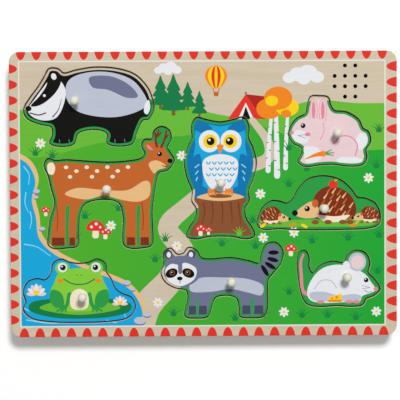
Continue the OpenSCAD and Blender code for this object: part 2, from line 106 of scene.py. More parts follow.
# Inks as sRGB, and bare wood, which is a linear colour without cover
INKS = {
    "red": 0xE0352A, "dark_red": 0xAE241E, "white": 0xE7E9ED, "chalk": 0xE3E5D8, "cream": 0xF3E4C8,
    "left_green": 0x54B02A, "right_green": 0x1CA335, "spring": 0x68B937, "lime": 0x86CC3C,
    "leaf": 0x2B9A45, "grass": 0x188341, "pine": 0x127A45, "blue": 0x18A6DA, "cobalt": 0x0C74B0,
    "sky": 0x92D6EE, "brown": 0xC2652C, "umber": 0x7A2F18, "bark": 0x895130, "tan": 0xE8BC84,
    "yellow": 0xFAD01A, "orange": 0xF0861E, "slate": 0x6E7390, "dark_slate": 0x45495F, "silver": 0xBDC2D2,
    "pink": 0xE8CDD1, "rose": 0xE3899A, "black": 0x070605,
}
BARE = (0.6, 0.5, 0.36, 0)

# Finishes of the other pieces: name, colour, colour of the spots, spots to the metre, how strongly they
# show, relief in millimetres, roughness, and 1 for a metal
FINISHES = {
    "core_wood": ("fibreboard", 0xC4A67E, 0x9A7B54, 2600, 0.45, 0.06, 0.85),
    "back_wood": ("hardboard", 0x9A744E, 0x75543A, 1800, 0.4, 0.03, 0.6),
    "ivory_plastic": ("ivory_paint", 0xE4E0D2, 0xD3CDBC, 420, 0.4, 0.01, 0.5),
    "white_plastic": ("white_moulding", 0xE6E6E2, 0xD2D2CC, 3200, 0.35, 0.02, 0.45),
    "black_plastic": ("black_moulding", 0x26262A, 0x17171A, 3200, 0.5, 0.02, 0.5),
    "board_green": ("solder_mask", 0x1E6B3C, 0x154D2B, 900, 0.5, 0.01, 0.32),
    "steel": ("zinc_plate", 0xB9BBBD, 0x8F9294, 1500, 0.4, 0.01, 0.32, 1),
    "sensor_resin": ("cast_resin", 0xD8CFB0, 0xB9AE8C, 900, 0.4, 0.01, 0.15),
    "wire_yellow": ("yellow_sleeve", 0xE3B81E, 0xC49A12, 1200, 0.3, 0.01, 0.42),
    "wire_red": ("red_sleeve", 0xBE2A22, 0x971D17, 1200, 0.3, 0.01, 0.42),
    "cone_paper": ("pressed_paper", 0x3B3B3E, 0x2A2A2C, 2400, 0.6, 0.06, 0.85),
    "gasket_foam": ("closed_foam", 0x2A2A2B, 0x141415, 3800, 0.7, 0.1, 0.95),
    "ferrite": ("ferrite", 0x4A4A4C, 0x333335, 2400, 0.5, 0.03, 0.6),
}

# Battery cells, with the way along X that the plus end points
CELLS = {"battery_cell_1": -1, "battery_cell_2": 1}


def linear(code):
    """An sRGB colour code as linear red, green, blue and full cover."""
    parts = [(code >> shift & 255) / 255 for shift in (16, 8, 0)]
    return (*(p / 12.92 if p <= 0.04045 else ((p + 0.055) / 1.055) ** 2.4 for p in parts), 1)


# Curves and outlines

def curve(points, steps=6):
    """Smooth curve from the second point up to the last but one."""
    line = []
    for a, b, c, d in zip(points, points[1:], points[2:], points[3:]):
        for step in range(steps):
            t = step / steps
            line.append(tuple(
                b[k] + (c[k] - a[k]) * t / 2 + (2 * a[k] - 5 * b[k] + 4 * c[k] - d[k]) * t * t / 2
                + (3 * b[k] - a[k] - 3 * c[k] + d[k]) * t ** 3 / 2 for k in (0, 1)))
    return line


def closed_curve(points):
    """Smooth ring through its points."""
    return curve([points[-1], *points, *points[:2]])


def open_curve(points, steps=6):
    """Smooth curve from the first point to the last."""
    first = [2 * points[0][k] - points[1][k] for k in (0, 1)]
    last = [2 * points[-1][k] - points[-2][k] for k in (0, 1)]
    return curve([first, *points, last], steps) + [points[-1]]


def mirrored(right):
    """A ring that is alike on both sides, from its right half."""
    return right + [(-x, y) for x, y in right[::-1] if x]


def ellipse(x, y, rx, ry, turn, steps):
    cos_t, sin_t = cos(radians(turn)), sin(radians(turn))
    round_trip = [2 * pi * i / steps for i in range(steps)]
    return [(x + rx * cos(a) * cos_t - ry * sin(a) * sin_t,
             y + rx * cos(a) * sin_t + ry * sin(a) * cos_t) for a in round_trip]


def cap(before, tip, r, steps=5):
    """Half circle around the tip of a line, from its right side to its left."""
    heading = atan2(tip[1] - before[1], tip[0] - before[0])
    turns = [heading + pi * (i / steps - 0.5) for i in range(1, steps)]
    return [(tip[0] + r * cos(a), tip[1] + r * sin(a)) for a in turns]


def band(points, start_w, end_w):
    """Outline of a smooth line with round ends, start_w wide at its first point and end_w at its last."""
    line = open_curve(points)
    n = len(line)
    left, right = [], []
    for i, p in enumerate(line):
        a, b = line[max(i - 1, 0)], line[min(i + 1, n - 1)]
        r = (start_w + (end_w - start_w) * i / (n - 1)) / 2 / dist(a, b)
        across = ((a[1] - b[1]) * r, (b[0] - a[0]) * r)
        left.append((p[0] + across[0], p[1] + across[1]))
        right.append((p[0] - across[0], p[1] - across[1]))
    start, end = cap(line[1], line[0], start_w / 2), cap(line[-2], line[-1], end_w / 2)
    return start + right + end + left[::-1]


def sides(ring):
    """The sides of a ring, each as its two ends."""
    return zip(ring, ring[1:] + ring[:1])


def length(ring):
    return sum(dist(a, b) for a, b in sides(ring))


def area(ring):
    """Signed area of a ring, above zero if it runs counter-clockwise."""
    return sum(a[0] * b[1] - b[0] * a[1] for a, b in sides(ring)) / 2


def counter_clockwise(ring):
    return ring if area(ring) > 0 else ring[::-1]


def outward(ring):
    """For each point of a ring, the step that moves its two sides out by one, to the right of its course."""
    def neighbour(i, way):
        while dist(ring[i], p) < least_side:
            i = (i + way) % len(ring)
        return ring[i]

    steps = []
    for i, p in enumerate(ring):
        a, b = neighbour(i, -1), neighbour(i, 1)
        before, after = dist(a, p), dist(p, b)
        n1 = Vector(((p[1] - a[1]) / before, (a[0] - p[0]) / before))
        n2 = Vector(((b[1] - p[1]) / after, (p[0] - b[0]) / after))
        steps.append((n1 + n2) / max(1 + n1.dot(n2), 0.6))  # 0.6 keeps sharp corners short
    return steps


def grown(ring, by):
    """A counter-clockwise ring moved outwards."""
    return [(p[0] + by * n.x, p[1] + by * n.y) for p, n in zip(ring, outward(ring))]


def gap_to(p, ring):
    """Distance from a point to a ring."""
    gaps = []
    for a, b in sides(ring):
        side = (b[0] - a[0], b[1] - a[1])
        t = ((p[0] - a[0]) * side[0] + (p[1] - a[1]) * side[1]) / (side[0] ** 2 + side[1] ** 2)
        t = min(max(t, 0), 1)
        gaps.append(dist(p, (a[0] + t * side[0], a[1] + t * side[1])))
    return min(gaps)


def shrunk(ring, by):
    """A counter-clockwise ring moved inwards, without the points that its tight corners would cross."""
    return [p for p in grown(ring, -by) if gap_to(p, ring) > 0.97 * by]


def inside(p, ring):
    crossings = 0
    for a, b in sides(ring):
        if (a[1] > p[1]) != (b[1] > p[1]):
            crossings += p[0] < a[0] + (p[1] - a[1]) * (b[0] - a[0]) / (b[1] - a[1])
    return crossings % 2 == 1


class Pen:
    """Adds ink shapes to a stack of layers, from an origin and at a size. Way -1 mirrors them."""

    def __init__(self, x=0, y=0, size=1, way=1, layers=None):
        self.x, self.y, self.size, self.way = x, y, size, way
        self.layers = [] if layers is None else layers

    def place(self, x, y):
        return self.x + self.way * self.size * x, self.y + self.size * y

    def at(self, x, y, size=1, way=1):
        """A pen for the same stack, with an origin and a size of its own."""
        return Pen(*self.place(x, y), self.size * size, self.way * way, self.layers)

    def halves(self, middle=0):
        """Pens for the left and the right of a middle line, the left one mirrored."""
        return [self.at(middle, 0, way=way) for way in (-1, 1)]

    def shape(self, ink, ring):
        self.layers.append((ink, counter_clockwise([self.place(*p) for p in ring])))

    def blob(self, ink, points):
        self.shape(ink, closed_curve(points))

    def oval(self, ink, x, y, rx, ry=None, turn=0):
        ry = ry or rx
        self.shape(ink, ellipse(x, y, rx, ry, turn, 16 if max(rx, ry) * self.size < 1.5 else 28))

    def line(self, ink, points, start_w, end_w=None):
        self.shape(ink, band(points, start_w, start_w if end_w is None else end_w))

    def box(self, ink, x0, y0, x1, y1):
        self.shape(ink, [(x0, y0), (x1, y0), (x1, y1), (x0, y1)])

    def eye(self, x, y, r):
        """An eye with its glint at the top left."""
        self.oval("black", x, y, r)
        self.oval("white", x - self.way * r * 0.3, y + r * 0.35, r * 0.32)


# Plants and things of the background, on a scale of about a hundred units

def tuft(pen, ink="grass"):
    for lean, height in ((-75, 62), (-36, 90), (2, 100), (38, 86), (80, 58)):
        pen.line(ink, [(0.25 * lean, 0), (0.42 * lean, 0.55 * height), (lean, height)], 20, 5)


def daisy(pen):
    petals = 7
    for i in range(petals):
        turn = 360 * i / petals + 13
        a = radians(turn)
        pen.oval("white", 62 * cos(a), 62 * sin(a), 42, 25, turn)
    pen.oval("yellow", 0, 0, 30)


def lily(pen):
    for i in (0, 6, 1, 5, 2, 4, 3):
        turn = 180 - 30 * i
        a = radians(turn)
        pen.oval("white" if i % 2 else "pink", 52 * cos(a), 56 * sin(a), 56, 23, turn)
    pen.oval("yellow", 0, 14, 34, 26)


def toadstool(pen):
    pen.blob("cream", [(-16, 0), (16, 0), (12, 50), (-12, 50)])
    pen.blob("red", [(-50, 42), (0, 36), (50, 42), (36, 78), (0, 95), (-36, 78)])
    for x, y, r in ((-22, 58, 8), (4, 75, 9), (26, 56, 7)):
        pen.oval("white", x, y, r)


def fir(pen):
    pen.shape("bark", [(-4.5, 0), (4.5, 0), (3.5, 30), (-3.5, 30)])
    for low, top, half in ((16, 58, 30), (40, 80, 23.5), (62, 100, 16.5)):
        slope = 0.45 * low + 0.55 * top
        right = [(0, top), (0.42 * half, slope), (half, low), (0.4 * half, low - 3.5), (0, low - 5)]
        pen.blob("pine", mirrored(right))


def birch(pen, height, lean):
    """A leaning trunk, in millimetres."""
    pen.line("white", [(0, 0), (0.3 * lean, 0.5 * height), (lean, height)], 0.085 * height, 0.05 * height)
    for i in range(6):
        t = 0.08 + 0.13 * i
        side = 0.032 * height * (-1) ** i
        x, y = lean * t * t, height * t
        pen.line("dark_slate", [(x + side, y), (x + side / 8, y + 0.4)], 0.8, 0.3)


def cloud(pen):
    for x, y, r in ((-95, -2, 42), (-40, 20, 55), (25, 30, 62), (85, 2, 45), (0, -12, 42)):
        pen.oval("white", x, y, r, 0.82 * r)


def balloon(pen):
    """Hot-air balloon with upright stripes."""
    for half in pen.halves():
        half.line("bark", [(34, -90), (16, -145)], 5.8)
    pen.blob("brown", [(-20, -142), (20, -142), (16, -175), (-16, -175)])
    right = [(0, 100), (72, 68), (100, 2), (70, -66), (30, -104), (0, -108)]
    for ink, share in (("orange", 1), ("yellow", 0.74), ("red", 0.42), ("yellow", 0.14)):
        pen.blob(ink, mirrored([(x * share, y) for x, y in right]))


def tent(pen):
    pen.shape("dark_red", [(-10, 62), (42, 56), (62, 1), (30, 0)])
    pen.shape("red", [(-55, 0), (33, 0), (-10, 62)])
    pen.shape("white", [(-30, 0), (10, 0), (-10, 41)])
    pen.shape("black", [(-20, 0), (2, 0), (-10, 32)])
    for half in pen.halves(-10):
        half.line("dark_slate", [(0, 62), (2, 66.5)], 2.26)


# The animals, named like their pieces and drawn around the middle of each; body is the figure's outline

def badger(pen, body):
    pen.shape("black", body)
    pen.blob("silver", [
        (-15, 21), (-1, 26.5), (17, 26.5), (33, 21), (42, 11), (45, 2), (37, -4), (21, -8), (3, -7),
        (-11, -2), (-18, 9)])
    pen.blob("slate", [(1, 23), (17, 23.5), (31, 17), (38, 8), (29, 7), (15, 13), (3, 15)])
    pen.blob("white", [
        (-47.3, -2), (-43, -8), (-34, -10.5), (-25, -8), (-19.5, 2), (-18, 13), (-23, 21), (-30, 21),
        (-36, 14), (-42, 6)])
    pen.blob("black", [
        (-45, 1), (-39, 1), (-32, 5), (-25, 12), (-21.5, 20), (-26, 25.5), (-31, 23), (-33, 16), (-38.5, 8)])
    pen.line("black", [(-45.6, -4.6), (-39, -6.2), (-33.4, -4.6)], 0.9)
    pen.line("slate", [(-28, -7.6), (-23.6, -2), (-21.2, 6)], 1.2, 0.4)
    pen.oval("white", -27, 23.5, 2, 2.6, 20)
    pen.oval("black", -46.8, -1.2, 2.4, 2.1)
    pen.oval("white", -34.4, 8.8, 1.1)
    for x in (-22.8, -15.3, 20.2, 27.7):
        pen.line("slate", [(x, -27.4), (x - 0.4, -25.4)], 0.7)
    pen.blob("white", [(45.2, -6), (47.5, -1), (46.4, 5), (43.4, 2), (42.6, -4)])


def deer(pen, body):
    pen.shape("brown", body)
    pen.blob("leaf", [
        (48.5, 32.5), (49, 46), (40.5, 49), (32.7, 45.5), (31.7, 38.2), (36.5, 34.4), (42, 31.6)])
    for antler in (
            [(37, 32), (36.1, 37.5), (38.5, 44.5)], [(36.3, 38.5), (35.5, 42.6)], [(37.5, 40), (40.3, 42.4)],
            [(40.5, 31.5), (42.9, 37), (44.5, 44)], [(43.1, 38), (45.9, 40.6)]):
        pen.line("umber", antler, 2, 1.3)
    pen.blob("tan", [
        (-34.5, -5), (-18.5, -9), (-4.5, -6), (7.5, -9), (21.5, -11), (30.5, -7), (31.5, 3), (26.5, 5),
        (13.5, -2), (-6.5, -1.5), (-24.5, 0)])
    pen.blob("tan", [(30.5, 18), (34.5, 11), (38, 13.6), (44, 16), (40.5, 19.6), (35, 21)])
    pen.blob("cream", [(-47.9, 18), (-47.3, 11.5), (-43.5, 10.6), (-41.9, 15.6), (-44.1, 19.8)])
    for i in range(7):
        pen.oval("cream", -33.5 + 8 * i, 16 - 3 * (i % 2), 1.7, 1.4)
    for x in (-30.5, -13.5, 2.5):
        pen.oval("cream", x, 8.6, 1.7, 1.4)
    for x in (-41.5, 25):
        pen.at(x, 0).line("umber", [(0, -12), (1.2, -23), (0.6, -33)], 0.5)
    for x in (-34, 21):
        pen.at(x, 0).blob("leaf", [(0, -15), (-0.4, -29), (-0.2, -43.4), (2.4, -43.4), (2.2, -29), (3, -15)])
    for x0, x1 in ((-45.1, -35.1), (-31.5, -26.9), (13.1, 19.7), (23.7, 30.5)):
        pen.shape("umber", [(x0, -44.9), (x1, -44.9), (x1 - 0.3, -38.6), (x0 + 0.3, -38.6)])
    pen.blob("brown", [(35.5, 29.5), (30, 35), (27.7, 32.5), (30.5, 29), (33.5, 27.4)])
    pen.blob("rose", [(33.9, 29.4), (30.1, 33.2), (29.1, 32), (31.5, 29.4)])
    pen.oval("black", 47.1, 20.6, 2, 1.8)
    pen.eye(39.1, 26, 1.8)
    pen.line("umber", [(46.1, 16.8), (43.1, 16.2), (41.1, 17.2)], 0.6)


def owl(pen, body):
    pen.shape("cobalt", body)
    pen.shape("bark", [p for p in body if p[1] < -14.4])
    pen.blob("tan", mirrored([(0, -10.4), (18.5, -14.8), (0, -17.8)]))
    pen.oval("bark", 0, -14, 9, 1.5)
    for x in (-13, -6.5, 1, 8, 14):
        pen.line("umber", [(x, -19.4), (x + 0.8, -26.4), (x * 1.12, -35.4)], 1, 0.5)
    pen.blob("blue", mirrored(
        [(0, 40.2), (12, 41.6), (19, 36.6), (19.5, 24.6), (21, 12.6), (17, -3.4), (0, -10.4)]))
    pen.blob("white", mirrored([(0, 18.6), (12.5, 14.6), (13.5, 3.6), (8, -7.4), (0, -10.4)]))
    for row, reach in enumerate((2, 2, 2, 1)):
        y = 11.6 - 4.6 * row
        for i in range(-reach, reach + 1):
            x = 4.6 * i + 2.3 * (row % 2)
            pen.line("blue", [(x - 1.5, y + 0.9), (x, y - 0.7), (x + 1.5, y + 0.9)], 0.9)
    for half in pen.halves():
        half.blob("cobalt", [(16, 18.6), (23.6, 12.6), (22, 0.6), (15, -8.4), (13.6, 2.6)])
        for k in range(3):
            half.line("sky", [(16.6 + 0.6 * k, 10.6 - 5 * k), (19.6 - 0.4 * k, 8.2 - 5 * k)], 0.9)
        half.blob("cobalt", [(6, 38.6), (13, 43.2), (18, 44.2), (18.6, 37.6), (13, 35.2)])
        half.oval("white", 8.4, 28.6, 8.2, 8.6)
        half.oval("yellow", 7.9, 28.6, 5.4)
        half.eye(7.4, 28.6, 3.1)
        for k in (-1, 0, 1):
            half.line("orange", [(6.6 + k * 2, -9), (6.6 + k * 2.5, -12.8)], 2, 1.5)
    pen.blob("orange", mirrored([(2.6, 25.6), (0.9, 20.6), (0, 18.8)]))
    toadstool(pen.at(-15.6, -44.4, 0.09))
    toadstool(pen.at(-9.4, -43.8, 0.06))
    tuft(pen.at(14.5, -44.2, 0.065), "spring")


def rabbit(pen, body):
    pen.shape("pink", body)
    pen.blob("white", [(24, -15), (29.4, -9.5), (28.4, -3.2), (23.4, -2), (20.6, -8)])
    for x in (-12.4, -5.2):
        pen.oval("rose", x, 15.2, 3.1, 10)
        pen.oval("pink", x, 15.2, 2.7, 9.6)
        pen.oval("rose", x, 16, 1.4, 7)
    pen.blob("pink", [(-28, 1), (-24, 8), (-16, 10), (-7, 8.4), (-4, 1), (-8, -8), (-18, -9), (-26, -6)])
    pen.line("rose", [(-5.4, 6), (-4.2, 0), (-7.4, -7)], 0.5)
    pen.blob("white", [(-29.2, -3), (-25.6, -8), (-18.5, -9.4), (-16, -4), (-20, 0), (-26, 0.6)])
    pen.blob("white", [(-19.4, -12), (-10, -12.6), (-6, -19), (-9, -23.4), (-18, -24.2), (-19.6, -18)])
    pen.line("rose", [(3, -10), (8.4, -4.4), (16.4, -4.6), (21.6, -11), (20, -19)], 0.9)
    pen.blob("white", [(6, -24), (8, -20.6), (20, -20.4), (25.4, -22.6), (24, -24.4), (14, -24.8)])
    pen.oval("rose", -29.2, -1.2, 1.6, 1.3)
    pen.eye(-20.6, 4.2, 1.9)
    pen.oval("rose", -17, -2.6, 2.2, 1.5)
    for rise in (-2, 0.8):
        pen.line("slate", [(-24.6, -3.4), (-18.4, -3.6 + rise)], 0.35)
    for tip in ((1.4, -14.6), (3.2, -16.8), (3, -19)):
        pen.line("leaf", [(-4.6, -17.6), tip], 1.2, 0.7)
    pen.line("orange", [(-4.8, -17.6), (-11, -18.6), (-18.6, -21.6)], 4.4, 0.8)
    for x, y in ((-8, -17.4), (-11.6, -19.4)):
        pen.line("brown", [(x, y + 0.9), (x - 0.3, y - 0.5)], 0.4)


def one_hedgehog(pen):
    """Nose to the left, about two hundred units long."""
    pen.blob("umber", [
        (-42, -2), (-30, 42), (2, 68), (42, 66), (80, 42), (98, 2), (86, -28), (30, -34), (-30, -30)])
    for x0, y0, count, step in ((12, 58, 4, 16), (2, 40, 5, 20), (-6, 20, 6, 20), (-2, 0, 6, 20)):
        for i in range(count):
            x, y = x0 + i * step, y0 - 1.8 * i * i
            ink = "tan" if (i + count) % 2 else "brown"
            pen.line(ink, [(x - 4, y - 7), (x + 7, y + 8)], 6, 2)
    pen.blob("tan", [(-94, -14), (-66, 10), (-40, 22), (-20, 2), (-22, -24), (-56, -30), (-84, -24)])
    pen.blob("cream", [(-24, -20), (30, -24), (78, -20), (50, -40), (0, -40)])
    for x in (-30, 10, 56, 78):
        pen.oval("bark", x, -42, 12, 7)
    pen.oval("black", -93, -13, 9)
    pen.eye(-55, 0, 8.5)
    pen.oval("brown", -30, 16, 10, 13)


def hedgehog(pen, body):
    pen.blob("spring", [
        (-44, -16), (-36, -18.4), (0, -18.8), (36, -18.2), (44, -16), (36, -13.6), (0, -13), (-36, -13.6)])
    for x, y, size, way in ((5, -4.6, 0.25, 1), (-33.6, -11, 0.12, -1), (37, -10.6, 0.11, 1)):
        one_hedgehog(pen.at(x, y, size, way))
    pen.oval("red", 11.6, 14.4, 3.5, 3.3)
    pen.line("umber", [(11.6, 16.6), (12.2, 18.2)], 0.7)
    pen.oval("lime", 13.6, 17.5, 1.6, 0.8, 25)
    for x, y, turn, ink in (
            (-20, -17, 20, "orange"), (-11, -18, -30, "yellow"), (27, -17.6, 10, "orange"),
            (-43, -17.4, 35, "yellow")):
        pen.oval(ink, x, y, 2.8, 1.2, turn)


def mouse(pen, body):
    pen.line("rose", [(-22, -13.4), (-28, -9.4), (-29, 2.6), (-29.4, 12.6), (-27.4, 18.6)], 3, 1.6)
    pen.blob("white", [
        (29, -8.8), (25.6, -3.4), (20.6, 3.2), (12, 7.6), (0, 10.6), (-12, 8), (-20, 0.6), (-24.4, -9.4),
        (-22, -17), (-12, -19.2), (4, -18.8), (16, -18.2), (19, -13.8), (26, -11.4)])
    pen.blob("silver", [
        (-22, -11.4), (-12, -10.4), (0, -13.4), (12, -12.4), (18, -14.4), (15, -17.8), (4, -18), (-12, -18.2),
        (-21, -16.4)])
    pen.oval("silver", 14.6, 12.6, 7, 7.4)
    pen.oval("pink", 14.8, 12.4, 5, 5.4)
    pen.oval("white", 6.2, 10, 2.6, 3.6, 20)
    pen.oval("rose", 29, -8.6, 1.7, 1.5)
    pen.eye(21.6, -1.6, 1.8)
    pen.line("slate", [(26, -10.8), (22.6, -11), (20.4, -9.4)], 0.5)
    for rise in (-1, 1.6):
        pen.line("slate", [(24.4, -7.6), (18.4, -7.4 + rise)], 0.35)
    for x in (-14, 8, 14):
        pen.oval("rose", x, -18.4, 3, 1.3)
    pen.shape("yellow", [(-8, -18.6), (2.4, -18.6), (2.4, -12), (-8, -15)])
    pen.box("orange", -8, -18.6, 2.4, -16.8)
    pen.oval("orange", -1.4, -14.8, 1.2)
    pen.oval("orange", -5, -15.6, 0.8)
    pen.line("silver", [(-19, -8.4), (-13.6, -2), (-6, -2), (-1.6, -7.4)], 0.8)


def raccoon(pen, body):
    pen.shape("slate", body)
    tail = open_curve([(31.4, 6), (36.8, 10), (39.8, 17), (40, 25.6)])
    for t in (0.12, 0.38, 0.62, 0.86):
        i = round(t * (len(tail) - 1))
        a, b = tail[i - 1], tail[i + 1]
        turn = degrees(atan2(b[1] - a[1], b[0] - a[0]))
        pen.oval("black", *tail[i], 1.7, 5.2 - 1.2 * t, turn)
    pen.blob("silver", [
        (-23.6, -9), (-7.6, -9), (6.4, -7), (20.4, -10), (30.4, -12), (31.4, -4), (18.4, 1), (0.4, 2),
        (-15.6, 2), (-24.6, -2)])
    for x0, x1 in ((-26.2, -20.4), (-18.4, -12), (15.4, 22), (24.8, 32)):
        pen.shape("dark_slate", [(x0, -26.8), (x1, -26.8), (x1 - 0.2, -20), (x0 + 0.4, -20)])
    for x0, x1 in ((-20.2, -18.6), (22.2, 24.6)):
        pen.box("leaf", x0, -26.8, x1, -14.5)
    nose_x = -32.8
    for half in pen.halves(nose_x):
        half.oval("dark_slate", 9, 20.3, 3.2, 3.6)
        half.oval("white", 8.6, 19.9, 1.7, 2.2)
    pen.blob("slate", [
        (-44.6, 6), (-42.6, 16), (-33.6, 19), (-23.6, 18), (-17.6, 12), (-18, 2), (-25.6, -4), (-33.6, -5),
        (-41.6, -1)])
    pen.blob("white", [
        (-44.2, 8), (-39.6, 12.8), (-33.6, 12), (-28, 13.6), (-20.2, 9), (-21.6, 1), (-29.6, -4), (-35.6, -4),
        (-42.2, 0)])
    for half in pen.halves(nose_x):
        half.oval("black", 6.5, 5.6, 4.9, 3.5, -24)
        half.oval("bark", 6.1, 5.9, 2.1)
        half.eye(6, 5.8, 1.4)
    pen.blob("slate", [(-34, 16), (-31.4, 16), (-31.2, 6), (-34, 6)])
    pen.oval("white", nose_x, -0.4, 4.6, 3.4)
    pen.oval("black", nose_x - 0.2, 1.4, 2.2, 1.5)
    pen.line("dark_slate", [(nose_x, 0), (nose_x, -2.2)], 0.6)


def frog(pen, body):
    pen.blob("pine", [
        (-38, -16), (-20, -21), (0, -22), (22, -21), (38, -17), (39, -10), (22, -6.4), (0, -5.4), (-22, -6.4),
        (-37, -9)])
    pen.blob("spring", [(-30, -14.4), (0, -19), (31, -14.6), (22, -9.4), (0, -8), (-22, -9.4)])
    pen.blob("lime", mirrored(
        [(0, 17.6), (15, 14), (19.6, 6), (23, -2), (21.6, -11), (12, -15.4), (0, -16.4)]))
    for half in pen.halves():
        half.blob("leaf", [(14, -2), (21.6, 0.6), (23, -8), (17.6, -13.6), (12, -11)])
        for k in (-1, 0, 1):
            half.line("leaf", [(11, -12), (14 + 3.4 * k, -16.6 + 0.6 * abs(k))], 2.2, 1.4)
        half.line("leaf", [(7.6, -3), (9, -9), (10.6, -13)], 3.6, 2.4)
        half.oval("lime", 13, 17.4, 5.6, 5)
        half.oval("white", 13, 18, 3.7)
        half.eye(12.6, 18, 2.2)
        half.oval("orange", 14.6, 7.6, 2.4, 1.6)
    pen.blob("cream", mirrored([(0, 1.4), (5.4, -1.2), (7.4, -7.6), (5.8, -13.6), (0, -15.2)]))
    pen.line("pine", [(-12, 9), (-6, 5.6), (0, 4.8), (6, 5.6), (12, 9)], 0.9)
    for x in (-1.6, 1.6):
        pen.oval("pine", x, 12, 0.5)
    for x, y, size in ((-33.4, -2.4, 0.07), (31.6, -10.6, 0.056)):
        lily(pen.at(x, y, size))


# The picture behind them

def draw_background(pen):
    left, right, low = -line_half_w - overlap, line_half_w + overlap, -line_half_d - overlap

    def land(ink, skyline):
        skyline = [(left, skyline[0][1]), *skyline, (right, skyline[-1][1])]
        pen.shape(ink, open_curve(skyline, 8) + [(right, low), (left, low)])

    for x, y, size in ((78, 90, 0.12), (-27, 96, 0.08)):
        cloud(pen.at(x, y, size))
    land("spring", [
        (-118, 66), (-86, 62), (-56, 72), (-26, 73), (10, 62), (44, 60), (84, 72), (118, 70)])
    for x, y, size in ((-33, 66, 0.26), (-12, 65, 0.22), (-23, 61, 0.32), (-3, 60, 0.2)):
        fir(pen.at(x, y, size))
    balloon(pen.at(10, 91, 0.086))
    tent(pen.at(36, 58, 0.31))
    land("green", [(-120, 30), (-80, 40), (-40, 44), (-10, 46), (30, 55), (70, 44), (110, 34)])
    pen.line("wood", [
        (-52, low), (-44, -86), (-26, -66), (-16, -46), (-28, -26), (-14, -10), (20, 16), (48, 26), (50, 40),
        (38, 57)], 24, 5)
    draw_river(pen, left, low)
    for x, y, height, lean in ((50, 18, 46, 3), (57, 14, 56, -1), (63.5, 20, 44, 2)):
        birch(pen.at(x, y), height, lean)
    for ink, x, y, rx, ry in (
            ("orange", 51, 66, 10, 8), ("yellow", 65, 67, 9, 7), ("orange", 58, 74, 11, 9),
            ("yellow", 53, 72, 5, 4), ("orange", 64, 62, 4, 3)):
        pen.oval(ink, x, y, rx, ry)
    for x, y, size in ((-122.4, -16, 0.074), (67.5, -48, 0.095), (-84, -33, 0.14), (-76.4, -34, 0.09)):
        toadstool(pen.at(x, y, size))
    for x, y in (
            (-21, -40), (70, -30), (-36, -84), (-72, -24), (-17, 30), (128, 12), (46, -34), (134, -92),
            (62, -92), (-126, 40), (44, 0)):
        daisy(pen.at(x, y, 0.039))
    for x, y in (
            (-117, 29), (-130, 31), (-66, 40), (-38, 16), (-30, -36), (-24, -94), (-4, -94), (24, -98),
            (46, -96), (76, -96), (96, -96), (118, -98), (40, -42), (-8, -34), (14, -40), (136, -34),
            (84, -38), (112, -36), (134, 20), (80, 18), (66, 6), (136, 48), (66, 34), (-92, -18), (-66, -12),
            (-100, -34), (66, -78), (-38, -52), (135, -62), (38, -22)):
        tuft(pen.at(x, y, 0.068))


def draw_river(pen, left, low):
    """River down the left edge that widens to the bottom, with ripples, and stones on its bank."""
    beach_w = 2.6
    bank = [
        (left, 34), (-133, 26), (-127.6, 13), (-130.4, -1), (-127.4, -15), (-125, -31), (-113, -43.6),
        (-90, -55), (-59, -68), (-46, -86), (-47, low)]
    for ink, step in (("tan", 0), ("blue", beach_w)):
        pen.shape(ink, open_curve([(x - step, y - step) for x, y in bank], 8) + [(left - step, low)])
    for ripple in (
            [(-139, 22), (-135, 16), (-135.4, 8)], [(-137.6, 2), (-138.4, -6), (-136, -13)],
            [(-134.4, -13), (-133.4, -19), (-134.8, -26)], [(-139, -38), (-129, -40.4), (-119, -47.4)],
            [(-72, -82), (-64, -88), (-61, -97)], [(-140, -88), (-136, -90.4)],
            [(-138, -97), (-120, -99.6), (-104, -99)], [(-76, -98), (-68, -99.6)]):
        pen.line("sky", ripple, 0.9, 0.5)
    for x, y, rx in (
            (-50, -98, 4.6), (-44.4, -93, 3.2), (-60, -68.4, 3), (-55.6, -73.4, 2.2), (-129.4, 3, 2.6),
            (-129.8, -1.6, 1.9), (-125.4, -26, 2.4)):
        pen.oval("slate", x, y - 0.7, rx, 0.7 * rx)
        pen.oval("silver", x, y, rx, 0.62 * rx)


def teeth(count, slip, tip, edge):
    """Outlines of a row of red teeth, with round tips, that run out past an edge of the board."""
    shares = [i / 8 for i in range(9)]
    right = [(tooth_w / 2 * sqrt(1 - t ** 1.35), tip + (edge - tip) * (1 - t)) for t in shares]
    outline = mirrored([(tooth_w / 2, edge + overlap), *right])
    for k in range(count):
        middle = (k - (count - 1) / 2) * tooth_pitch + slip
        yield [(middle + along, out) for along, out in outline]


def draw_border(pen):
    """Bare wood round the picture, with a white line inside it and red teeth over the edge."""
    inner_w, inner_d = line_half_w - line_w, line_half_d - line_w

    def surround(ink, outer_w, outer_d):
        for side in (-1, 1):
            pen.box(ink, side * inner_w, -outer_d, side * outer_w, outer_d)
            pen.box(ink, -outer_w, side * inner_d, outer_w, side * outer_d)

    surround("wood", half_w + overlap, half_d + overlap)
    surround("chalk", line_half_w, line_half_d)
    for side, slip_x, slip_y in ((-1, 0.8, -0.15), (1, -0.3, 0.85)):
        for ring in teeth(teeth_across, slip_x, line_half_d + tip_gap, half_d):
            pen.shape("red", [(along, side * out) for along, out in ring])
        for ring in teeth(teeth_up, slip_y, line_half_w + tip_gap, half_w):
            pen.shape("red", [(side * out, along) for along, out in ring])


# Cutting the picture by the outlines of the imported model

PRINT, PLIES, SAWN, BOTTOM = range(4)  # material slots of a plate
RIM_STRIPS, CUT_STRIPS = 3, 1  # how many strips of a rounding are printed


def borders(faces):
    """The closed rings of corners around a set of faces, which lie on the left of each ring."""
    found = dict.fromkeys(side for face in faces for side in sides(face))
    ahead = {a: b for a, b in found if (b, a) not in found}
    rings = []
    while ahead:
        ring = [next(iter(ahead))]
        while ring[-1] in ahead:
            ring.append(ahead.pop(ring[-1]))
        rings.append(ring[:-1])
    return rings


